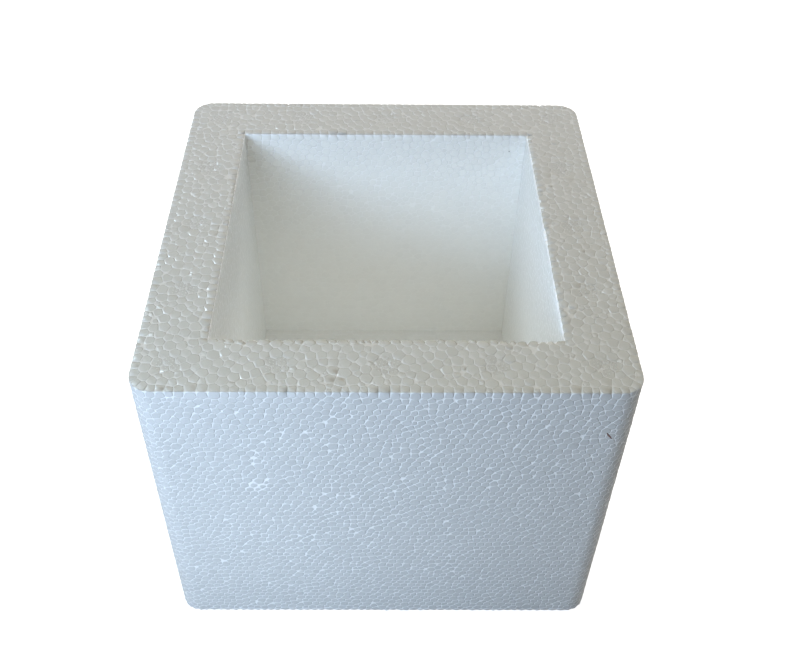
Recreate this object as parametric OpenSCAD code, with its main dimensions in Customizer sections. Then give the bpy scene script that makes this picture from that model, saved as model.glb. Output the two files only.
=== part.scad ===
// Moulded polystyrene foam block: a single-use mould that casts one concrete test cube.
// One solid, steam moulded: a square pocket, open at the top, in a block with rounded
// upright corners.  The shallow round sinks are the marks of the tool's steam vents.
// Millimetres.  +Z is up and the origin is the middle of the underside.

/* [Pocket] */
// Side of the cube that the pocket casts
cube_side = 150; // [70:1:300]

/* [Walls] */
// Thickness of the four side walls
wall = 30; // [18:1:80]
// Thickness of the floor under the pocket
floor_t = 25; // [10:1:80]

/* [Edges] */
// Radius of the four upright outer corners
corner_r = 10; // [4:0.5:30]
// Radius of the edge round the underside
base_edge_r = 2; // [0.5:0.25:3.5]
// Radius of the rim's outer edge
rim_edge_r = 0.8; // [0.2:0.1:3]

/* [Steam vent marks] */
// Diameter of one vent mark
vent_d = 12; // [5:0.5:14]
// Depth that a mark is sunk below the face
vent_sink = 0.3; // [0.1:0.05:1]
// Spaces between the marks along one side of the rim
vent_gaps = 4; // [1:1:4]

/* [Hidden] */

block_w = cube_side + 2 * wall;
block_h = cube_side + floor_t;
// length of the side's flat stretch, between the rounded corners
flat_w = block_w - 2 * corner_r;
// the marks stand on the middle line of the walls
rim_mid = (cube_side + wall) / 2;
vent_pitch = 2 * rim_mid / vent_gaps;
// the cutters start this far outside the surface that they open
clear = 1;

// Upright section of one half, from the middle out to `reach`, with its two rounded edges.
module edge_profile(reach) {
    difference() {
        square([reach, block_h]);
        translate([reach - base_edge_r, -clear])
            square([base_edge_r + clear, base_edge_r + clear]);
        translate([reach - rim_edge_r, block_h - rim_edge_r])
            square([rim_edge_r + clear, rim_edge_r + clear]);
    }
    translate([reach - base_edge_r, base_edge_r])
        circle(r = base_edge_r, $fn = 48);
    translate([reach - rim_edge_r, block_h - rim_edge_r])
        circle(r = rim_edge_r, $fn = 32);
}

// The full section, run straight between two of the rounded corners.
module flat_run() {
    rotate([90, 0, 0])
        translate([0, 0, -flat_w / 2])
            linear_extrude(flat_w) {
                edge_profile(block_w / 2);
                mirror([1, 0]) edge_profile(block_w / 2);
            }
}

// One rounded upright corner, turned from the same edges.
module corner_post() {
    rotate_extrude($fn = 96)
        intersection() {
            edge_profile(corner_r);
            square([corner_r + clear, block_h]);
        }
}

module outer_block() {
    flat_run();
    rotate([0, 0, 90]) flat_run();
    for (sx = [-1, 1], sy = [-1, 1])
        translate([sx * flat_w / 2, sy * flat_w / 2, 0]) corner_post();
}

// The cube that is cast, standing out through the open top.
module pocket() {
    translate([-cube_side / 2, -cube_side / 2, floor_t])
        cube([cube_side, cube_side, cube_side + clear]);
}

module vent_mark() {
    cylinder(d = vent_d, h = vent_sink + clear, $fn = 48);
}

// Marks round the rim: one at each corner and the rest spaced evenly between them.
module rim_vents() {
    for (i = [0 : vent_gaps], j = [0 : vent_gaps])
        if (i == 0 || j == 0 || i == vent_gaps || j == vent_gaps)
            translate([i * vent_pitch - rim_mid, j * vent_pitch - rim_mid, block_h - vent_sink])
                vent_mark();
}

// Marks under the floor, at the same spacing and between the rim's rows.
module base_vents() {
    for (i = [1 : vent_gaps], j = [1 : vent_gaps])
        translate([(i - 0.5) * vent_pitch - rim_mid, (j - 0.5) * vent_pitch - rim_mid, -clear])
            vent_mark();
}

module foam_block() {
    color("whitesmoke")
        difference() {
            outer_block();
            pocket();
            rim_vents();
            base_vents();
        }
}

foam_block();
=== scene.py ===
import math

import bmesh
import bpy
import numpy as np
from mathutils import Matrix, Vector, kdtree


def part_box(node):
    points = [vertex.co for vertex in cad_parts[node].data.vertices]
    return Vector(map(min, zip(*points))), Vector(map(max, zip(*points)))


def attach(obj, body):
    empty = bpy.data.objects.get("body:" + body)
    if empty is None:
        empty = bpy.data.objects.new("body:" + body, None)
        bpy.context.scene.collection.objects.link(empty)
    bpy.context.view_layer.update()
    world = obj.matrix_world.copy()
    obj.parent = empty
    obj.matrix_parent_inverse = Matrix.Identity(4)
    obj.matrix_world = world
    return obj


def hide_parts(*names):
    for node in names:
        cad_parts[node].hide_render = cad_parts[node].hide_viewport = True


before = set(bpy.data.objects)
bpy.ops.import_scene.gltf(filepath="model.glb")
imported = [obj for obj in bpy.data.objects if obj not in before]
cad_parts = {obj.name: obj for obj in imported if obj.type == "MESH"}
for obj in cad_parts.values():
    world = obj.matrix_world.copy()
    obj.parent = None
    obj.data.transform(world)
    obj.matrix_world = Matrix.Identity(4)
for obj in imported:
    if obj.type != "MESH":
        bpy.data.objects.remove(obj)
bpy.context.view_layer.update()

# ---------------------------------------------------------------------------
# View.  The camera stands above the front of the block and looks down into
# the pocket, a little left of the middle.
# ---------------------------------------------------------------------------
CAMERA_AT = Vector((-0.0033, -0.3610, 0.4745))
LOOK_DOWN = math.radians(43.275)
TURN_RIGHT = math.radians(0.72)
ROLL = math.radians(0.78)
LENS = 44.954
SHIFT = (0.0057, -0.0557)

camera_data = bpy.data.cameras.new("camera")
camera_data.lens = LENS
camera_data.shift_x, camera_data.shift_y = SHIFT
camera_data.clip_start = 0.01
camera = bpy.data.objects.new("camera", camera_data)
camera.matrix_world = (Matrix.Translation(CAMERA_AT)
                       @ Matrix.Rotation(-TURN_RIGHT, 4, "Z")
                       @ Matrix.Rotation(math.pi / 2 - LOOK_DOWN, 4, "X")
                       @ Matrix.Rotation(ROLL, 4, "Z"))
bpy.context.scene.collection.objects.link(camera)
bpy.context.scene.camera = camera

# ---------------------------------------------------------------------------
# Moulded block.  One piece of expanded polystyrene, steam moulded from beads
# about 4 mm across.  Each bead is pressed flat against the tool, rounds off
# towards its neighbours and is fused to them along a whiter seam.
# All lengths in this section are in millimetres until the mesh is made.
# ---------------------------------------------------------------------------
MM = 0.001
low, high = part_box("foam_block")
BLOCK_W = (high.x - low.x) / MM
BLOCK_H = (high.z - low.z) / MM
POCKET = 150.0
POCKET_FLOOR = BLOCK_H - POCKET
HALF_BLOCK = BLOCK_W / 2
HALF_POCKET = POCKET / 2
CORNER_R = 10.0
BASE_EDGE_R = 2.0
RIM_EDGE_R = 0.8

CORNER_BEAD_R = 2.0
CORNER_INSET = 2.0        # middle of a pocket corner's bead, from each of the faces that it shows in
PACKING = 0.9             # share of a face that the beads' discs would cover, were they not squeezed
draw = np.random.default_rng(20)


def bead_radii(count, small_share=0.3, full_r=2.2):
    """Two sizes of bead, as sieved: mostly full-size ones, with smaller ones between them."""
    full = draw.normal(full_r, 0.18, count)
    small = draw.uniform(1.1, 1.9, count)
    return np.where(draw.random(count) < small_share, small, full)


bead_r = []               # radius of every bead, by its number


def new_bead(radius):
    bead_r.append(float(radius))
    return len(bead_r) - 1


class Crease:
    """An edge of the block, with the beads that sit along it and show in both of its faces.

    point(s, e) gives the place at distance s along the edge, drawn in by e along both faces.
    Each bead has steps facets along the edge. A bead stands back from it by round_off and by part
    of setback, and a seam by notch more; the seams at the two ends stand back by ends. worn_back
    lists worn stretches as (from, to, depth), and chips lost foam as (place, depth).
    """

    def __init__(self, length, point, closed, steps, round_off=0.0, notch=0.0, setback=0.0, ends=0.0,
                 worn_back=(), chips=(), sizes=(0.45, 2.15)):
        self.point, self.steps = point, steps
        room = length if closed else length - 2 * CORNER_INSET
        pitch = 2 * np.mean(bead_radii(500, *sizes))
        radii = list(bead_radii(int(room / pitch), *sizes))
        if not closed:
            # the corner beads at both ends are shared, so only the ones between are new
            radii = [CORNER_BEAD_R] + radii + [CORNER_BEAD_R]
        radii = np.array(radii)
        # the tool's face cuts some beads near their middle and some near their skin
        depths = radii * draw.uniform(0.7, 1.12, len(radii))
        self.insets = np.maximum(depths, round_off + setback + notch)
        if not closed:
            self.insets[[0, -1]] = CORNER_INSET
        following = np.roll(radii, -1)
        gaps = (radii + following)[:None if closed else -1]
        places = np.concatenate([[0.0], np.cumsum(gaps) * room / gaps.sum()])
        if closed:
            places = places[:-1]
        else:
            places = places + CORNER_INSET
        self.places = places
        self.beads = [new_bead(r) for r in (radii if closed else radii[1:-1])]
        if not closed:
            self.beads = [None] + self.beads + [None]
        # the cut between neighbours is where their discs have equal power
        nxt = np.roll(places, -1)
        if closed:
            nxt[-1] += length
        power = radii ** 2 - self.insets ** 2
        cuts = (places + nxt) / 2 + (power - np.roll(power, -1)) / (2 * (nxt - places))
        if closed:
            self.cuts = np.concatenate([[cuts[-1] - length], cuts])
        else:
            self.cuts = np.concatenate([[0.0], cuts[:-1], [length]])
        # how far each bead, and each seam between beads, stands back from the sharp edge: the line
        # of the edge wanders in slow waves, and one bead in 25 stands back further
        phase = draw.uniform(0, 2 * math.pi, 2)
        wave = 0.5 + 0.25 * (np.sin(places / 7.0 + phase[0]) + np.sin(places / 3.1 + phase[1]))
        back = round_off + setback * (0.6 * wave + draw.uniform(0, 0.4, len(radii)))
        back[draw.random(len(radii)) < 0.04] += 0.7 * setback
        for first, last, depth in worn_back:
            back[(places > first) & (places < last)] += depth
        self.back = back
        seam = (back + np.roll(back, 1)) / 2 + notch * draw.uniform(0.8, 1.2, len(radii))
        for at, depth in chips:
            seam[np.abs(self.cuts[:len(radii)] - at).argmin()] += depth
        seam = np.append(seam, seam[0])
        if not closed:
            seam[0] = seam[-1] = ends
        self.seam = seam

    def row(self):
        """Each bead, its place along the edge, and how far its middle lies from the edge."""
        return zip(self.beads, self.places, self.insets)

    def drawn_in(self, k, t):
        """Standing back of bead k at t, which runs from -1 to 1 over the bead."""
        arc = 1 - math.sqrt(max(0.0, 1 - t * t))
        end = self.seam[k] if t < 0 else self.seam[k + 1]
        return self.back[k] + (end - self.back[k]) * arc

    def chain(self, bead):
        """Places along the bead's stretch of edge: (s, point) from one seam to the next."""
        k = self.beads.index(bead)
        start, stop = self.cuts[k], self.cuts[k + 1]
        out = []
        for i in range(self.steps + 1):
            t = 2 * i / self.steps - 1
            s = start + (stop - start) * (t + 1) / 2
            out.append((s, self.point(s, self.drawn_in(k, t))))
        return out


# --- the block's outline, walked anticlockwise from the left end of the front ---
FLAT = BLOCK_W - 2 * CORNER_R
QUARTER = math.pi / 2 * CORNER_R
OUTLINE = 4 * (FLAT + QUARTER)


def outline(s):
    """Point on the outline at distance s, and the outward direction there."""
    lap, rest = divmod(s % OUTLINE, FLAT + QUARTER)
    turn = lap * math.pi / 2
    if rest <= FLAT:
        x, y, out = rest - FLAT / 2, -HALF_BLOCK, -math.pi / 2
    else:
        out = -math.pi / 2 + (rest - FLAT) / CORNER_R
        x = FLAT / 2 + CORNER_R * math.cos(out)
        y = -FLAT / 2 + CORNER_R * math.sin(out)
    c, n = math.cos(turn), math.sin(turn)
    return (x * c - y * n, x * n + y * c), (math.cos(out + turn), math.sin(out + turn))


def outline_place(x, y):
    """Distance along the outline of the point of it nearest to (x, y), and how far inside x, y is."""
    best = None
    for lap in range(4):
        turn = -lap * math.pi / 2
        c, n = math.cos(turn), math.sin(turn)
        u, v = x * c - y * n, x * n + y * c
        if abs(u) <= FLAT / 2 and v < 0:
            found = lap * (FLAT + QUARTER) + u + FLAT / 2, v + HALF_BLOCK
        elif u > FLAT / 2 and v < -FLAT / 2:
            du, dv = u - FLAT / 2, v + FLAT / 2
            angle = math.atan2(dv, du) + math.pi / 2
            found = lap * (FLAT + QUARTER) + FLAT + angle * CORNER_R, CORNER_R - math.hypot(du, dv)
        else:
            continue
        if best is None or found[1] < best[1]:
            best = found
    return best


def top_edge(s, e):
    (x, y), (nx, ny) = outline(s)
    return (x - nx * e, y - ny * e, BLOCK_H - e)


def base_edge(s, e):
    (x, y), (nx, ny) = outline(s)
    return (x - nx * e, y - ny * e, e)


# --- the pocket: corner k, and wall k from corner k to the next, anticlockwise ---
POCKET_CORNERS = [(-1, -1), (1, -1), (1, 1), (-1, 1)]
WALL_RUN = [(1, 0), (0, 1), (-1, 0), (0, -1)]
WALL_IN = [(0, 1), (-1, 0), (0, -1), (1, 0)]
# the edge of the mouth: its rounding along the walls and at the corners, then, for the front, right,
# back and left edge, how far seams and beads stand back from it, and where it is worn
RIM_ROUND, RIM_CORNER = 0.2, 0.5
RIM_NOTCH = [0.6, 0.15, 0.1, 0.2]
RIM_SETBACK = [0.6, 0.4, 0.2, 0.15]
RIM_WORN = [[(12, 23, 0.6), (122, 150, 0.7)], [(60, 72, 0.5)], [(95, 104, 0.5)], [(30, 47, 0.3)]]


def pocket_corner(k, e, z):
    """Upright corner k at height z, drawn back into the foam by e along both walls."""
    cx, cy = POCKET_CORNERS[k % 4]
    return (cx * (HALF_POCKET + e), cy * (HALF_POCKET + e), z)


def rim_edge(k):
    def point(s, e):
        if s < 1e-6 or s > POCKET - 1e-6:
            return pocket_corner(k if s < 1e-6 else k + 1, e, BLOCK_H - e)
        cx, cy = POCKET_CORNERS[k]
        (tx, ty), (nx, ny) = WALL_RUN[k], WALL_IN[k]
        return (cx * HALF_POCKET + tx * s - nx * e, cy * HALF_POCKET + ty * s - ny * e, BLOCK_H - e)
    return point


def upright_edge(k):
    def point(s, e):
        if s < 1e-6:
            return pocket_corner(k, RIM_CORNER, BLOCK_H - RIM_CORNER)
        return pocket_corner(k, 0.0, BLOCK_H - s)
    return point


def floor_edge(k):
    def point(s, e):
        cx, cy = POCKET_CORNERS[k]
        tx, ty = WALL_RUN[k]
        return (cx * HALF_POCKET + tx * s, cy * HALF_POCKET + ty * s, POCKET_FLOOR)
    return point


# where the top edge lacks a little foam between two beads: (distance along it, depth)
TOP_CHIPS = [(56.8, 0.7), (92.7, 0.6), (94.7, 0.4), (183.4, 0.4), (421.4, 0.6), (560.0, 0.4)]
top_loop = Crease(OUTLINE, top_edge, closed=True, steps=4, round_off=0.15 * RIM_EDGE_R, notch=0.1,
                  setback=0.12, chips=TOP_CHIPS, sizes=(0.2, 2.15))
base_loop = Crease(OUTLINE, base_edge, closed=True, steps=2, round_off=0.3 * BASE_EDGE_R, notch=0.2,
                   setback=0.1)
rims = [Crease(POCKET, rim_edge(k), closed=False, steps=6, round_off=RIM_ROUND, notch=RIM_NOTCH[k],
               setback=RIM_SETBACK[k], ends=RIM_CORNER, worn_back=RIM_WORN[k], sizes=(0.3, 2.4))
        for k in range(4)]
uprights = [Crease(POCKET, upright_edge(k), closed=False, steps=1) for k in range(4)]
floors = [Crease(POCKET, floor_edge(k), closed=False, steps=1) for k in range(4)]

# eight beads sit in the pocket's corners and belong to three edges each
for k in range(4):
    upper, lower = new_bead(CORNER_BEAD_R), new_bead(CORNER_BEAD_R)
    for crease, end, bead in ((rims[k], 0, upper), (rims[k - 1], -1, upper),
                              (floors[k], 0, lower), (floors[k - 1], -1, lower),
                              (uprights[k], 0, upper), (uprights[k], -1, lower)):
        crease.beads[end] = bead


def close_pairs(xy, reach, wrap):
    """Every pair of beads nearer than reach; wrap is the lap length of a face that closes on itself."""
    here = [(float(x), float(y), n) for n, (x, y) in enumerate(xy)]
    if wrap:
        here += [(x + wrap, y, n) for x, y, n in here if x < reach]
        here += [(x - wrap, y, n) for x, y, n in here if wrap - reach < x < wrap]
    tree = kdtree.KDTree(len(here))
    for n, (x, y, _) in enumerate(here):
        tree.insert((x, y, 0), n)
    tree.balance()
    near = [[here[m][2] for _, m, _ in tree.find_range((x, y, 0), reach)] for x, y in xy]
    first = np.repeat(np.arange(len(xy)), [len(n) for n in near])
    second = np.concatenate([np.array(n, int) for n in near])
    keep = first < second
    return first[keep], second[keep]


ROUNDS = 60               # of pushing, with the neighbours looked up again every 5 rounds
ROAM = 1.2                # mm that beads may drift in between
GIVE_WAY = 0.42           # share of an overlap that each of two beads gives way in a round


def settle(xy, radii, held, keep_in, wrap):
    """Overlapping beads push each other apart until the face is evenly packed."""
    for turn in range(ROUNDS):
        if turn % 5 == 0:
            a, b = close_pairs(xy, 2 * radii.max() + ROAM, wrap)
        gap = xy[b] - xy[a]
        if wrap:
            gap[:, 0] -= wrap * np.round(gap[:, 0] / wrap)
        apart = np.maximum(np.hypot(gap[:, 0], gap[:, 1]), 1e-6)
        over = np.maximum(radii[a] + radii[b] - apart, 0)
        push = gap * (over / apart * GIVE_WAY)[:, None]
        move = np.zeros_like(xy)
        np.add.at(move, a, -push)
        np.add.at(move, b, push)
        move[:held] = 0
        xy = xy + move
        xy[held:] = keep_in(xy[held:])
        if wrap:
            xy[:, 0] %= wrap
    return xy


SHAKE = 0.22              # how far a bead strays from its even row, as a share of the pitch


def lattice(u0, v0, u1, v1, *sizes):
    """An even but shaken scatter of places, one for each bead's share of the face."""
    share = math.pi * np.mean(bead_radii(4000, *sizes) ** 2) / PACKING
    pitch = math.sqrt(share * 2 / math.sqrt(3))
    u, v = np.meshgrid(np.arange(u0, u1, pitch), np.arange(v0, v1, pitch * math.sqrt(0.75)))
    u[1::2] += pitch / 2
    xy = np.stack([u.ravel(), v.ravel()], 1)
    return xy + draw.normal(0, SHAKE * pitch, xy.shape)


class Face:
    """One face of the block laid out flat in u and v, anticlockwise as seen from outside.

    place(u, v) gives the point and outward direction there, flat(point, s) the way back, and
    sides(u, v) the edges near a place as (direction u, direction v, distance, crease).
    rows holds the edge beads that are already on it, as (bead, place).
    """

    def __init__(self, box, keep_in, place, flat, sides, rows, wrap=None, sizes=(0.3,), hole=0):
        self.place, self.flat, self.sides, self.wrap = place, flat, sides, wrap
        loose = lattice(*box, *sizes)
        loose = loose[(np.abs(loose) > hole).any(1)]
        self.beads = [bead for bead, _ in rows] + [new_bead(r) for r in bead_radii(len(loose), *sizes)]
        spots = np.array([spot for _, spot in rows], float)
        radii = np.array([bead_r[b] for b in self.beads])
        self.xy = settle(np.concatenate([spots, loose]), radii, len(rows), keep_in, wrap)

    def local(self, point, s, u, v):
        """Where a point of an edge lies, seen from the bead at (u, v)."""
        pu, pv = self.flat(point, s)
        du = pu - u
        if self.wrap:
            du -= self.wrap * round(du / self.wrap)
        return du, pv - v


CLEAR = 3.3               # the other beads keep this far from an edge
LOOSE = 4.4               # and start from this far


def square_face(side, place, flat, edges):
    """A flat square. edges are those at v = 0, u = side, v = side and u = 0, each with True
    where its distance runs with u or v."""
    rows = {}
    for which, (crease, forward) in enumerate(edges):
        for bead, s, inset in crease.row():
            run = s if forward else side - s
            rows[bead] = [(run, inset), (side - inset, run), (run, side - inset), (inset, run)][which]

    def sides(u, v):
        return [(0, -1, v, edges[0][0]), (1, 0, side - u, edges[1][0]),
                (0, 1, side - v, edges[2][0]), (-1, 0, u, edges[3][0])]

    return Face((LOOSE, LOOSE, side - LOOSE, side - LOOSE), lambda xy: np.clip(xy, CLEAR, side - CLEAR),
                place, flat, sides, list(rows.items()))


def pocket_wall(k):
    cx, cy = POCKET_CORNERS[k]
    (tx, ty), (nx, ny) = WALL_RUN[k], WALL_IN[k]
    return square_face(
        POCKET,
        lambda u, v: ((cx * HALF_POCKET + tx * u, cy * HALF_POCKET + ty * u, BLOCK_H - v),
                      (nx, ny, 0.0)),
        lambda p, s: ((p[0] - cx * HALF_POCKET) * tx + (p[1] - cy * HALF_POCKET) * ty, BLOCK_H - p[2]),
        [(rims[k], True), (uprights[(k + 1) % 4], True), (floors[k], True), (uprights[k], True)])


def pocket_floor():
    return square_face(
        POCKET,
        lambda u, v: ((u - HALF_POCKET, v - HALF_POCKET, POCKET_FLOOR), (0.0, 0.0, 1.0)),
        lambda p, s: (p[0] + HALF_POCKET, p[1] + HALF_POCKET),
        [(floors[0], True), (floors[1], True), (floors[2], False), (floors[3], False)])


def loop_rows(crease, mirror):
    """A loop's beads as they show in the flat face inside it."""
    rows = []
    for bead, s, inset in crease.row():
        (x, y), (nx, ny) = outline(s)
        rows.append((bead, (x - nx * inset, mirror * (y - ny * inset))))
    return rows


NEAR_EDGE = 8             # mm from an edge within which it may cut a bead's cell


def loop_sides(crease, mirror, u, v):
    """The outline's edge as a side of the flat face inside it, where (u, v) is near it."""
    found = outline_place(u, mirror * v)
    if found is None or found[1] > NEAR_EDGE:
        return []
    _, (nx, ny) = outline(found[0])
    return [(nx, mirror * ny, found[1], crease)]


def keep_in_outline(xy):
    reach = HALF_BLOCK - CLEAR
    round_r = CORNER_R - CLEAR
    xy = np.clip(xy, -reach, reach)
    over = np.abs(xy) - (reach - round_r)
    length = np.maximum(np.hypot(over[:, 0], over[:, 1]), 1e-9)
    out = (over > 0).all(1) & (length > round_r)
    xy[out] = (np.sign(xy) * (reach - round_r + over * (round_r / length)[:, None]))[out]
    return xy


def rim_face():
    """The flat ring round the pocket's mouth."""
    hole = HALF_POCKET + CLEAR
    reach = HALF_BLOCK - LOOSE

    def keep_in(xy):
        xy = keep_in_outline(xy)
        n = np.flatnonzero((np.abs(xy) < hole).all(1))
        widest = np.abs(xy[n]).argmax(1)
        xy[n, widest] = np.where(xy[n, widest] < 0, -hole, hole)
        return xy

    def sides(u, v):
        found = loop_sides(top_loop, 1, u, v)
        for k in range(4):
            (tx, ty), (nx, ny) = WALL_RUN[k], WALL_IN[k]
            off = -HALF_POCKET - (u * nx + v * ny)
            if 0 < off < NEAR_EDGE and abs(u * tx + v * ty) < HALF_POCKET:
                found.append((nx, ny, off, rims[k]))
        return found

    rows = loop_rows(top_loop, 1)
    for k in range(4):
        (tx, ty), (nx, ny) = WALL_RUN[k], WALL_IN[k]
        cx, cy = POCKET_CORNERS[k]
        for bead, s, inset in rims[k].row():
            rows.append((bead, (cx * HALF_POCKET + tx * s - nx * inset,
                                cy * HALF_POCKET + ty * s - ny * inset)))
        # one more bead stands across each corner of the mouth
        across = HALF_POCKET + CORNER_INSET
        rows.append((new_bead(CORNER_BEAD_R), (cx * across, cy * across)))
    return Face((-reach, -reach, reach, reach), keep_in,
                lambda u, v: ((u, v, BLOCK_H), (0.0, 0.0, 1.0)),
                lambda p, s: (p[0], p[1]), sides, rows, sizes=(0.25, 2.45), hole=HALF_POCKET + LOOSE)


def underside():
    reach = HALF_BLOCK - LOOSE
    return Face((-reach, -reach, reach, reach), keep_in_outline,
                lambda u, v: ((u, -v, 0.0), (0.0, 0.0, -1.0)),
                lambda p, s: (p[0], -p[1]),
                lambda u, v: loop_sides(base_loop, -1, u, v), loop_rows(base_loop, -1))


def outer_wall():
    """The four outer walls and their round corners, as one band."""
    rows = [(bead, (s, BLOCK_H - inset)) for bead, s, inset in top_loop.row()]
    rows += [(bead, (s, inset)) for bead, s, inset in base_loop.row()]

    def place(u, v):
        (x, y), (nx, ny) = outline(u)
        return (x, y, v), (nx, ny, 0.0)

    def keep_in(xy):
        return np.stack([xy[:, 0], np.clip(xy[:, 1], CLEAR, BLOCK_H - CLEAR)], 1)

    return Face((0, LOOSE, OUTLINE, BLOCK_H - LOOSE), keep_in, place, lambda p, s: (s, p[2]),
                lambda u, v: [(0, 1, BLOCK_H - v, top_loop), (0, -1, v, base_loop)],
                rows, wrap=OUTLINE, sizes=(0.35, 1.95))


def cut(cell, nx, ny, limit, side):
    """The part of a cell where nx x + ny y is under the limit; the new side is marked."""
    over = [nx * x + ny * y - limit for x, y, _ in cell]
    if max(over) <= 0:
        return cell
    kept = []
    for k, (x, y, mark) in enumerate(cell):
        after = (k + 1) % len(cell)
        here, there = over[k], over[after]
        if here <= 0:
            kept.append((x, y, mark))
        if (here <= 0) != (there <= 0):
            t = here / (here - there)
            kept.append((x + (cell[after][0] - x) * t, y + (cell[after][1] - y) * t,
                         side if here <= 0 else mark))
    return kept


WIDEST = 7                # mm that a bead's cell may reach to each side
NEAR = 9.5                # mm within which another bead may cut the cell


def cells(face):
    """The polygon that each bead fills: (bead, its place, corners as (x, y, crease or None))."""
    here = [(float(u), float(v), face.beads[n]) for n, (u, v) in enumerate(face.xy)]
    own = len(here)
    if face.wrap:
        here += [(u + face.wrap, v, b) for u, v, b in here[:own] if u < NEAR]
        here += [(u - face.wrap, v, b) for u, v, b in here[:own] if u > face.wrap - NEAR]
    tree = kdtree.KDTree(len(here))
    for n, (u, v, _) in enumerate(here):
        tree.insert((u, v, 0), n)
    tree.balance()
    for u, v, bead in here[:own]:
        cell = [(x * WIDEST, y * WIDEST, None) for x, y in ((-1, -1), (1, -1), (1, 1), (-1, 1))]
        for nx, ny, away, crease in face.sides(u, v):
            if away < NEAR_EDGE:
                cell = cut(cell, nx, ny, away, crease)
        for _, m, d in tree.find_range((u, v, 0), NEAR):
            if here[m][2] != bead:
                limit = (d * d + bead_r[bead] ** 2 - bead_r[here[m][2]] ** 2) / 2
                cell = cut(cell, here[m][0] - u, here[m][1] - v, limit, None)
        yield bead, u, v, cell


# the tool's steam vents, in the middle of the rim all round and in a square pattern underneath
VENT_D = 12.0
VENT_SINK = 0.2
VENT_PITCH = 45
RIM_VENTS = [(VENT_PITCH * a, VENT_PITCH * b) for a in range(-2, 3) for b in range(-2, 3)
             if max(abs(a), abs(b)) == 2]
BASE_VENTS = [(VENT_PITCH * (a + 0.5), VENT_PITCH * (b + 0.5))
              for a in range(-2, 2) for b in range(-2, 2)]
VENT_SLOPE = 1.5          # mm over which the edge of the disc slopes down


def vent_depth(u, v, vents):
    """How far the disc of a steam vent stands into the foam at (u, v)."""
    away = min(math.hypot(u - x, v - y) for x, y in vents)
    return VENT_SINK * min(1.0, max(0.0, (VENT_D / 2 - away) / VENT_SLOPE + 0.5))


corners = []              # every corner of the mesh: (x, y, z, mm to the nearest seam)
faces = []                # corner numbers of each facet
facet_beads = []          # which bead each facet belongs to
facet_sides = []          # which face of the block it lies in
facet_uvs = []            # where its corners lie on that bead, in bead radii, with u to the open side


def corner(point, seam):
    corners.append((*point, seam))
    return len(corners) - 1


def facet(ring, bead, spots):
    faces.append(ring)
    facet_beads.append(bead)
    facet_sides.append(side_no)
    r = bead_r[bead]
    facet_uvs.extend(((x * open_u + y * open_v) / r, (y * open_u - x * open_v) / r) for x, y in spots)


def mouth_corner(u, v):
    """The mesh point at a corner of the pocket's mouth, where five cells meet."""
    for k, (cx, cy) in enumerate(POCKET_CORNERS):
        if abs(u - cx * HALF_POCKET) < 1e-3 and abs(v - cy * HALF_POCKET) < 1e-3:
            return rims[k].point(0.0, rims[k].seam[0])
    return None


PIT_FROM, PIT_FULL = 0.5, 2.2     # mm2 of room between three beads where a pit begins, and its most


def cell_ring(face, bead, u, v, cell, valley, pit, vents):
    """The corners of a cell as mesh corners, with where each lies on the bead."""
    ring, spots = [], []
    chains = []
    for x, y, mark in cell:
        chain = mark and mark.chain(bead)
        if chain:
            start, _ = face.place(u + x, v + y)
            if math.dist(start, chain[-1][1]) < math.dist(start, chain[0][1]):
                chain.reverse()
        chains.append(chain)
    for k, (x, y, _) in enumerate(cell):
        if chains[k] or chains[k - 1]:
            ends = (chains[k] or chains[k - 1])[0][0], (chains[k] or chains[k - 1])[-1][0]
            for s, point in chains[k][:-1] if chains[k] else chains[k - 1][-1:]:
                ring.append(corner(point, min(abs(s - ends[0]), abs(s - ends[1]))))
                spots.append(face.local(point, s, u, v))
            continue
        point, out = face.place(u + x, v + y)
        room = x * x + y * y - bead_r[bead] ** 2
        deep = valley + pit * min(PIT_FULL, max(0.0, room - PIT_FROM))
        if vents:
            deep += vent_depth(u + x, v + y, vents)
        point = tuple(p - o * deep for p, o in zip(point, out))
        ring.append(corner(vents is RIM_VENTS and mouth_corner(u + x, v + y) or point, 0.0))
        spots.append((x, y))
    return ring, spots


TIGHT = 0.4               # mm from its own middle to a seam under which a bead counts as squeezed


def centre_of(spots):
    """The bead's own middle, or the middle of its cell where neighbours have squeezed it aside."""
    nearest = min((x * q - y * p) / max(math.hypot(p - x, q - y), 1e-9)
                  for (x, y), (p, q) in zip(spots, spots[1:] + spots[:1]))
    if nearest > TIGHT:
        return (0.0, 0.0), nearest
    return (sum(x for x, _ in spots) / len(spots), sum(y for _, y in spots) / len(spots)), 1.0


def reach_along(spots, cx, cy, angle):
    """How far the cell reaches from its middle in a direction."""
    c, n = math.cos(angle), math.sin(angle)
    best = 9.0            # more than any cell's reach
    for (x, y), (p, q) in zip(spots, spots[1:] + spots[:1]):
        x, y, p, q = x - cx, y - cy, p - cx, q - cy
        a, b = c * y - n * x, c * q - n * p
        if a <= 0 < b or b <= 0 < a:
            t = a / (a - b)
            along = c * (x + (p - x) * t) + n * (y + (q - y) * t)
            if 0 < along < best:
                best = along
    return best


# a smear of skin on the front that melted flat: its middle on the outer wall, and its size
SMEAR_AT, SMEAR_W, SMEAR_H = (HALF_BLOCK - CORNER_R - 57.0, 111.0), 11.0, 9.0


def melted(u, v):
    """1 within the smear, falling to 0 round it."""
    off = math.hypot((u - SMEAR_AT[0]) / (SMEAR_W / 2), (v - SMEAR_AT[1]) / (SMEAR_H / 2))
    return min(1.0, max(0.0, 2.0 - 1.6 * off))


def turned_over(a, b, c):
    """Whether a facet with these three corners would face into the foam."""
    return (b[0] - a[0]) * (c[1] - a[1]) - (b[1] - a[1]) * (c[0] - a[0]) <= 0


DISC = 0.84               # share of a bead's width that the tool pressed flat
SPOKES = 8                # corners of a flat disc
LEAN = 0.008              # slope that a bead's flat may have
UNEVEN = 0.02             # mm by which flats differ in depth


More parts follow.
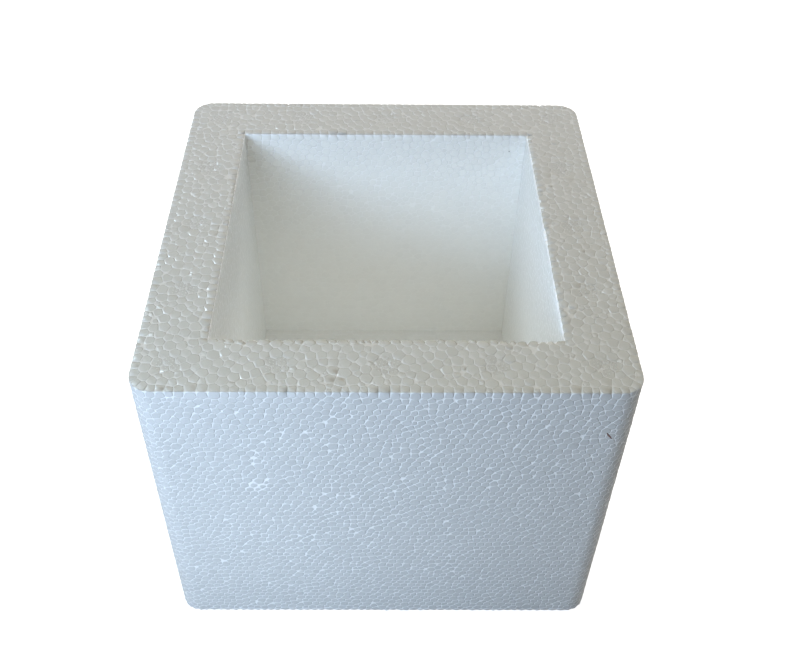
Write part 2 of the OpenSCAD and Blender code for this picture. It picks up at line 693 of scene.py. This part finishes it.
def build(face, valley, pit, vents=(), flat_discs=False):
    """Turns a face's cells into facets.

    Seams lie valley deep, plus pit for each square millimetre of room that the beads left
    where three of them meet. A bead is a shallow dome, or a flat disc with a rounded edge.
    """
    for bead, u, v, cell in cells(face):
        ring, spots = cell_ring(face, bead, u, v, cell, valley, pit, vents)
        (cx, cy), nearest = centre_of(spots)
        # no flat is quite level, and none stands proud of the tool's face
        lean = draw.normal(0.0, LEAN, 2)
        sunk = 2.0 * abs(lean).sum() + draw.uniform(0.0, UNEVEN)
        if vents:
            sunk += vent_depth(u + cx, v + cy, vents)

        def top(x, y, seam):
            point, out = face.place(u + x, v + y)
            if face.wrap:
                seam -= 0.7 * seam * melted(u + x, v + y)
            down = sunk + (lean[0] * (x - cx) + lean[1] * (y - cy))
            return corner(tuple(p - o * down for p, o in zip(point, out)), seam)

        on_edge = any(mark and mark.steps > 4 for _, _, mark in cell)
        if not (flat_discs or on_edge):
            middle = top(cx, cy, nearest)
            for k in range(len(ring)):
                after = (k + 1) % len(ring)
                facet((middle, ring[k], ring[after]), bead, ((cx, cy), spots[k], spots[after]))
            continue
        # a flat disc, zipped to the cell's outline round it
        turn = [-math.pi + (k + 0.5) * 2 * math.pi / SPOKES for k in range(SPOKES + 1)]
        disc, disc_spots = [], []
        for angle in turn[:-1]:
            reach = reach_along(spots, cx, cy, angle)
            far = DISC * min(reach, bead_r[bead] * 1.04)
            x, y = cx + far * math.cos(angle), cy + far * math.sin(angle)
            disc.append(top(x, y, reach - far))
            disc_spots.append((x, y))
        angles = [math.atan2(y - cy, x - cx) for x, y in spots]
        first = angles.index(min(angles))
        ring, spots = ring[first:] + ring[:first], spots[first:] + spots[:first]
        angles = angles[first:] + angles[:first] + [angles[first] + 2 * math.pi]
        facet(tuple(disc), bead, disc_spots)
        outer, inner, count = 0, 0, len(ring)
        while outer < count or inner < SPOKES:
            o, i = outer % count, inner % SPOKES
            step_out = inner == SPOKES or outer < count and angles[outer + 1] <= turn[inner + 1]
            if outer < count and turned_over(disc_spots[i], spots[o], disc_spots[(inner + 1) % SPOKES]):
                step_out = True
            if step_out:
                o_next = (outer + 1) % count
                facet((disc[i], ring[o], ring[o_next]), bead, (disc_spots[i], spots[o], spots[o_next]))
                outer += 1
            else:
                i_next = (inner + 1) % SPOKES
                facet((disc[i], ring[o], disc[i_next]), bead,
                      (disc_spots[i], spots[o], disc_spots[i_next]))
                inner += 1


NIB_PITCH = 1.7
NIB_R = 0.45
NIB_SIDES = 5
NIB_ROOT = 0.35           # mm that a nib's foot is buried in the foam
NIB_MARGIN = 0.8          # mm from the vent's rim to the middle of the outermost nibs
# the nibs take the seams' white, which is partly painted highlight for the light that they catch
NIB_FOOT_SEAM, NIB_TIP_SEAM = -0.4, 0.08      # close to a seam's nought, so that nibs are white


def nibs(vents, z, up):
    """The steam holes of each vent leave a field of tiny raised dots on the foam."""
    for vx, vy in vents:
        turned = draw.uniform(0, math.pi / 3)
        for row in range(-3, 4):
            for column in range(-4, 5):
                a, b = (column + 0.5 * (row % 2)) * NIB_PITCH, row * NIB_PITCH * math.sqrt(0.75)
                if math.hypot(a, b) > VENT_D / 2 - NIB_MARGIN:
                    continue
                x = vx + a * math.cos(turned) - b * math.sin(turned)
                y = vy + a * math.sin(turned) + b * math.cos(turned)
                tall = VENT_SINK * draw.uniform(0.4, 0.9)
                bead = new_bead(NIB_R)
                rings = []
                for r, height, seam in ((NIB_R, -NIB_ROOT, NIB_FOOT_SEAM),
                                        (0.6 * NIB_R, tall, NIB_TIP_SEAM)):
                    rings.append([corner((x + r * math.cos(t), y + up * r * math.sin(t),
                                          z - up * (VENT_SINK - height)), seam)
                                  for t in (2 * math.pi * n / NIB_SIDES for n in range(NIB_SIDES))])
                foot, tip = rings
                none = ((0.0, 0.0),) * NIB_SIDES
                facet(tuple(tip), bead, none)
                facet(tuple(reversed(foot)), bead, none)
                for n in range(NIB_SIDES):
                    after = (n + 1) % NIB_SIDES
                    facet((foot[n], foot[after], tip[after], tip[n]), bead, none[:4])


# the beads slumped a little as they fused, so each one's seams are wide on one side of it and
# tight on the other: open_u and open_v point to the wide side in each face. side_no is 0 to 3 for
# the pocket's walls, 4 for its floor, 5 for the outer walls, 6 for the underside, 7 for the rim
open_v = -0.92
for side_no in range(4):
    open_u = -0.4 if side_no < 2 else 0.4
    build(pocket_wall(side_no), valley=0.04, pit=0.06)
side_no = 4
build(pocket_floor(), valley=0.04, pit=0.06)
side_no, open_u, open_v = 7, -0.7, -0.7
build(rim_face(), valley=0.05, pit=0.04, vents=RIM_VENTS, flat_discs=True)
first_rim_nib = len(bead_r)
nibs(RIM_VENTS, BLOCK_H, 1)
last_rim_nib = len(bead_r)
side_no, open_u, open_v = 5, -0.4, 0.92
build(outer_wall(), valley=0.08, pit=0.08)
side_no = 6
build(underside(), valley=0.08, pit=0.08, vents=BASE_VENTS)
nibs(BASE_VENTS, 0.0, -1)

corners = np.array(corners)
mesh = bpy.data.meshes.new("foam_block_beads")
mesh.from_pydata((corners[:, :3] * MM).tolist(), [], faces)
mesh.uv_layers.new(name="bead").data.foreach_set("uv", np.array(facet_uvs).ravel())
mesh.attributes.new("seam", "FLOAT", "POINT").data.foreach_set("value", corners[:, 3])
facet_beads = np.array(facet_beads)
facet_sides = np.array(facet_sides)
# beads differ in tone from 0, the dullest, to 1, and the rim's nibs are all bright: a painted highlight
# for the light that they catch
tones = np.clip(draw.normal(0.5, 0.2, len(bead_r)), 0, 1)
tones[first_rim_nib:last_rim_nib] = 1.0


def linear(hex_colour):
    """An sRGB hex colour as the linear colour that a shader takes."""
    parts = [int(hex_colour[i:i + 2], 16) / 255 for i in (1, 3, 5)]
    return [c / 12.92 if c <= 0.04045 else ((c + 0.055) / 1.055) ** 2.4 for c in parts] + [1.0]


# Moulded expanded polystyrene: a matt white foam whose beads have a thin skin of the same
# plastic. The pressed skin lets light through and looks a little grey, while the fused seams
# scatter it and stay white; their white is partly painted highlight for the light that the beads'
# edges catch. The pocket's skin and seams are painted lighter, as painted light for the light that
# its white walls pass between them, and the rim's are painted darker and warmer, as painted shade
# for the dim light that falls on it from above.
POCKET_SKIN, OUTER_SKIN, RIM_SKIN = "#f1f2f0", "#c8c7c4", "#b9b9b6"
POCKET_SEAM, OUTER_SEAM, RIM_SEAM = "#fcfdfd", "#ecebe8", "#c8c8c6"
# share of each colour that the rim loses at its front edge, falling to none at its back: painted shade,
# darker and warmer where less of the bluish window light falls
RIM_FRONT_PAINTED_SHADE = np.array([0.10, 0.11, 0.17, 0.0])
# mm down into the pocket over which its seams fade, and how faint they become: painted light,
# the seams' white stands for the light that the beads' edges catch near the mouth and fades into
# the shade below, and their relief fades with it
SEAMS_FADE, FAINTEST = 85.0, 0.12
# mm from the bottom of a seam to the bead's flat
OUTER_RELIEF, RIM_RELIEF, POCKET_RELIEF = 0.31, 0.16, 0.22

# one skin and one seam colour for each face of the block, with painted light in the pocket and painted
# shade on the rim
skin_of = np.array([linear(POCKET_SKIN)] * 5 + [linear(OUTER_SKIN)] * 2 + [linear(RIM_SKIN)])
seam_of = np.array([linear(POCKET_SEAM)] * 5 + [linear(OUTER_SEAM)] * 2 + [linear(RIM_SEAM)])
middles = np.array([corners[list(ring), :3].mean(0) for ring in faces])
in_pocket, on_rim = facet_sides < 5, facet_sides == 7
# painted light: the share of the seams' white that shows, less the deeper a facet lies in the pocket
shown = np.where(in_pocket, np.clip(1 - (BLOCK_H - middles[:, 2]) / SEAMS_FADE, FAINTEST, 1), 1.0)
# painted shade: the rim's colours darken and warm towards its front
rim_front_shade = 1 - (on_rim * (0.5 - middles[:, 1] / BLOCK_W))[:, None] * RIM_FRONT_PAINTED_SHADE
skin_here = skin_of[facet_sides] * rim_front_shade
fused_here = skin_here + (seam_of[facet_sides] * rim_front_shade - skin_here) * shown[:, None]
for name, colours in (("skin", skin_here), ("fused", fused_here)):
    mesh.attributes.new(name, "FLOAT_COLOR", "FACE").data.foreach_set("color", colours.ravel())
# the pocket's beads are all pressed alike, so they differ less in tone
tone_here = 0.5 + (tones[facet_beads] - 0.5) * np.where(in_pocket, 0.4, 1.0)
relief_here = np.where(on_rim, RIM_RELIEF, np.where(in_pocket, POCKET_RELIEF * shown, OUTER_RELIEF))
for name, kind, values in (("tone", "FLOAT", tone_here), ("relief", "FLOAT", relief_here),
                           ("patch_no", "INT", facet_beads * 8 + facet_sides)):
    mesh.attributes.new(name, kind, "FACE").data.foreach_set("value", values)

# neighbouring cells were made apart: join them, and keep each seam and block edge sharp
shell = bmesh.new()
shell.from_mesh(mesh)
bmesh.ops.remove_doubles(shell, verts=shell.verts, dist=0.04 * MM)
number = shell.faces.layers.int["patch_no"]
for edge in shell.edges:
    if len(edge.link_faces) == 2:
        one, other = edge.link_faces
        edge.smooth = one[number] == other[number]
for part in shell.faces:
    part.smooth = True
shell.to_mesh(mesh)
shell.free()
mesh.attributes.remove(mesh.attributes["patch_no"])
block = bpy.data.objects.new("foam_block_beads", mesh)
bpy.context.scene.collection.objects.link(block)


def add(tree, kind, links=(), values=(), **settings):
    """Adds a node: links are (input, source socket), values are (input, value)."""
    node = tree.nodes.new(kind)
    for name, value in settings.items():
        setattr(node, name, value)
    for name, value in values:
        node.inputs[name].default_value = value
    for name, source in links:
        tree.links.new(source, node.inputs[name])
    return node


foam = bpy.data.materials.new("expanded_polystyrene_moulded")
foam.use_nodes = True
tree = foam.node_tree
tree.nodes.clear()
on_bead = add(tree, "ShaderNodeUVMap", uv_map="bead")
from_middle = add(tree, "ShaderNodeVectorMath", [(0, on_bead.outputs["UV"])], operation="LENGTH")
seam, tone, skin, fused, depth = (add(tree, "ShaderNodeAttribute", attribute_name=name)
                                  for name in ("seam", "tone", "skin", "fused", "relief"))
place = add(tree, "ShaderNodeTexCoord")
# mm from the edge of the bead's flat disc: nought along a seam, and less than that in a gap
disc_edge = add(tree, "ShaderNodeMath", [(0, from_middle.outputs["Value"])], [(1, -2.0), (2, 2.27)],
                operation="MULTIPLY_ADD")
even_edge = add(tree, "ShaderNodeMath", [(0, seam.outputs["Fac"]), (1, disc_edge.outputs["Value"])],
                operation="MINIMUM")
# the bead's edge is rounded over 0.15 mm on its tight side and 0.72 mm on its open side
along = add(tree, "ShaderNodeSeparateXYZ", [("Vector", on_bead.outputs["UV"])])
bevel_width = add(tree, "ShaderNodeMapRange", [("Value", along.outputs["X"])],
                  [("From Min", -0.5), ("From Max", 1.0), ("To Min", 0.15), ("To Max", 0.72)])
bevel = add(tree, "ShaderNodeMath",
            [(0, even_edge.outputs["Value"]), (1, bevel_width.outputs["Result"])], operation="DIVIDE")
# the white web of fused foam along the seams, partly painted highlight, and the greyer skin with each
# bead's own tone
web = add(tree, "ShaderNodeMapRange", [("Value", bevel.outputs["Value"])],
          [("From Min", 1.0), ("From Max", 0.3)], interpolation_type="SMOOTHSTEP")
brightness = add(tree, "ShaderNodeMapRange", [("Value", tone.outputs["Fac"])],
                 [("To Min", 0.955), ("To Max", 1.03)])
toned = add(tree, "ShaderNodeHueSaturation", [("Color", skin.outputs["Color"]),
                                              ("Value", brightness.outputs["Result"])])
colour = add(tree, "ShaderNodeMix", [("Factor", web.outputs["Result"]), (6, toned.outputs["Color"]),
                                     (7, fused.outputs["Color"])], data_type="RGBA")
# mm of relief: the rounding of the bead and a fine grain, 0.7 mm across
raised = add(tree, "ShaderNodeMapRange", [("Value", bevel.outputs["Value"])],
             [("From Min", -0.1), ("From Max", 1.1)], interpolation_type="SMOOTHSTEP")
grain = add(tree, "ShaderNodeTexNoise", [("Vector", place.outputs["Object"])],
            [("Scale", 1400.0), ("Detail", 2.0)])
fine = add(tree, "ShaderNodeMath", [(0, grain.outputs["Fac"])], [(1, 0.02)], operation="MULTIPLY")
relief = add(tree, "ShaderNodeMath", [(0, raised.outputs["Result"]), (1, depth.outputs["Fac"]),
                                      (2, fine.outputs["Value"])], operation="MULTIPLY_ADD")
bump = add(tree, "ShaderNodeBump", [("Height", relief.outputs["Value"])],
           [("Strength", 1.0), ("Distance", MM)])
# the glossy film on top rounds off more steeply and glints along the beads' edges
film_height = add(tree, "ShaderNodeMapRange", [("Value", bevel.outputs["Value"])],
                  [("From Min", -0.1), ("From Max", 1.0), ("To Max", 0.5)],
                  interpolation_type="SMOOTHSTEP")
film_relief = add(tree, "ShaderNodeMath",
                  [(0, grain.outputs["Fac"]), (2, film_height.outputs["Result"])], [(1, 0.05)],
                  operation="MULTIPLY_ADD")
film_bump = add(tree, "ShaderNodeBump", [("Height", film_relief.outputs["Value"])],
                [("Strength", 1.0), ("Distance", MM)])
shader = add(tree, "ShaderNodeBsdfPrincipled",
             [("Base Color", colour.outputs[2]), ("Normal", bump.outputs["Normal"]),
              ("Coat Normal", film_bump.outputs["Normal"])],
             [("Roughness", 0.7), ("IOR", 1.5), ("Specular IOR Level", 0.0),
              ("Coat Weight", 0.3), ("Coat Roughness", 0.24), ("Coat IOR", 1.59)])
add(tree, "ShaderNodeOutputMaterial", [("Surface", shader.outputs["BSDF"])])
mesh.materials.append(foam)
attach(block, "root")
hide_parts("foam_block")

# ---------------------------------------------------------------------------
# Two bits of dirt stuck in the foam: a wood splinter on the front, pressed in flush, and a
# grain of grit high on the back wall of the pocket.
# ---------------------------------------------------------------------------
# x, z and half width of the splinter in mm, down its length
SPLINTER = [(92.3, 149.7, 0.15), (93.0, 148.5, 0.42), (94.0, 147.2, 0.45), (94.8, 145.9, 0.18)]
RIDGE_Y, SIDE_Y, BACK_Y = -105.04, -104.93, -104.6
splinter_mesh = bpy.data.meshes.new("splinter")
rings, skin_faces = [], []
for x, z, half in SPLINTER:
    # round the sliver: both sides of it, its outer ridge and its back, buried in the foam
    rings += [(x - 0.85 * half, SIDE_Y, z - 0.53 * half), (x, RIDGE_Y, z),
              (x + 0.85 * half, SIDE_Y, z + 0.53 * half), (x, BACK_Y, z)]
for n in range(len(SPLINTER) - 1):
    for side in range(4):
        a, b = 4 * n + side, 4 * n + (side + 1) % 4
        skin_faces.append((a, a + 4, b + 4, b))
skin_faces += [(0, 1, 2, 3), tuple(range(4 * n + 7, 4 * n + 3, -1))]
splinter_mesh.from_pydata([tuple(c * MM for c in point) for point in rings], [], skin_faces)
splinter = bpy.data.objects.new("splinter", splinter_mesh)
bpy.context.scene.collection.objects.link(splinter)

GRIT_R = 0.35
bpy.ops.mesh.primitive_ico_sphere_add(subdivisions=2, radius=GRIT_R * MM,
                                      location=(66.7 * MM, (HALF_POCKET + 0.15) * MM, 164.5 * MM))
grit = bpy.context.object
grit.name = "grit"

# Dry softwood gone brown, and grey stone grit: both dull.
for piece, name, tint in ((splinter, "softwood_splinter", "#6f5348"), (grit, "stone_grit", "#8d8c88")):
    dirt = bpy.data.materials.new(name)
    dirt.use_nodes = True
    dull = dirt.node_tree.nodes["Principled BSDF"]
    dull.inputs["Base Color"].default_value = linear(tint)
    dull.inputs["Roughness"].default_value = 0.8
    piece.data.materials.append(dirt)
    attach(piece, "root")

# ---------------------------------------------------------------------------
# Floor and light.  A plain white floor. Windows on the left, from behind the block round to its
# front, give bluish light. A wide bright wall behind it and the ceiling give a warmer white from
# above, and a little light comes up off the table in front.
# ---------------------------------------------------------------------------
def seen_directly(tree):
    """1 for rays that the camera sends out, also off or through a glossy surface, otherwise 0."""
    rays = add(tree, "ShaderNodeLightPath")
    seen = rays.outputs["Is Camera Ray"]
    for kind in ("Is Glossy Ray", "Is Transmission Ray"):
        either = add(tree, "ShaderNodeMath", [(0, seen), (1, rays.outputs[kind])], operation="MAXIMUM")
        seen = either.outputs["Value"]
    return seen


bpy.ops.mesh.primitive_circle_add(vertices=96, radius=3, fill_type="NGON", location=(0, 0, -0.0002))
floor = bpy.context.object
floor.name = "floor"
# matt white paper: it keeps the block's shadow, and shows white behind the block
floor_paper = bpy.data.materials.new("white_paper")
floor_paper.use_nodes = True
tree = floor_paper.node_tree
tree.nodes.clear()
glow = add(tree, "ShaderNodeMath", [(0, seen_directly(tree))], [(1, 0.92)], operation="MULTIPLY")
paper = add(tree, "ShaderNodeBsdfDiffuse", values=[("Color", linear("#bcbcbc"))])
lit = add(tree, "ShaderNodeEmission", [("Strength", glow.outputs["Value"])])
both = add(tree, "ShaderNodeAddShader", [(0, paper.outputs["BSDF"]), (1, lit.outputs["Emission"])])
add(tree, "ShaderNodeOutputMaterial", [("Surface", both.outputs["Shader"])])
floor.data.materials.append(floor_paper)


def soft_light(name, at, aim, size, watts, highlight="too"):
    """A square lamp, watts in red, green and blue. highlight is too, none or only."""
    lamp_data = bpy.data.lights.new(name, "AREA")
    lamp_data.shape = "SQUARE"
    lamp_data.size = size
    strongest = max(watts)
    lamp_data.energy = strongest
    lamp_data.color = [w / strongest for w in watts]
    lamp = bpy.data.objects.new(name, lamp_data)
    lamp.visible_camera = False
    lamp.visible_glossy = highlight != "none"
    lamp.visible_diffuse = highlight != "only"
    lamp.location = at
    lamp.rotation_euler = (Vector(aim) - Vector(at)).to_track_quat("-Z", "Y").to_euler()
    bpy.context.scene.collection.objects.link(lamp)


LEFT_PART, MIDDLE = (-0.15, 0.0, 0.12), (0.0, 0.0, 0.13)
soft_light("window_front", (-0.18, -0.42, 0.31), LEFT_PART, 0.15, (0.52, 0.635, 0.78))
soft_light("window_corner", (-0.25, -0.34, 0.31), LEFT_PART, 0.15, (0.26, 0.37, 0.54))
soft_light("window_left", (-0.50, -0.25, 0.45), LEFT_PART, 0.15, (0.55, 0.71, 0.90))
soft_light("window_behind", (-0.50, 0.50, 0.50), MIDDLE, 0.3, (0.48, 0.62, 0.70), "none")
soft_light("bright_wall", (0.0, 0.90, 1.38), MIDDLE, 0.8, (14.8, 14.25, 13.3), "none")
soft_light("ceiling", (0.0, 0.01, 1.0), MIDDLE, 1.6, (4.00, 3.68, 3.20), "none")
soft_light("table_glow", (-0.09, -0.27, 0.05), (0.0, -0.10, 0.09), 0.09, (0.080, 0.100, 0.125))
# a wall on the right gives some of the light back to that side of the block
soft_light("right_wall", (0.70, 0.25, 0.11), (0.10, 0.0, 0.08), 0.3, (2.0, 2.1, 2.1), "none")
# the bright panes of the left window, seen only as glints on the beads' edges
soft_light("window_panes", (-0.55, 0.14, 0.55), LEFT_PART, 0.2, (6.0, 7.7, 9.3), "only")

sky = bpy.data.worlds.new("surroundings")
bpy.context.scene.world = sky
sky.use_nodes = True
tree = sky.node_tree
tree.nodes.clear()
dim = add(tree, "ShaderNodeBackground", values=[("Color", (0.02, 0.02, 0.02, 1))])
white = add(tree, "ShaderNodeBackground", values=[("Color", (1, 1, 1, 1))])
mixed = add(tree, "ShaderNodeMixShader", [(0, seen_directly(tree)), (1, dim.outputs["Background"]),
                                          (2, white.outputs["Background"])])
add(tree, "ShaderNodeOutputWorld", [("Surface", mixed.outputs["Shader"])])
bpy.context.scene.view_settings.view_transform = "Standard"
# light is passed on many times between the white walls of the pocket before it leaves
bpy.context.scene.cycles.diffuse_bounces = 10
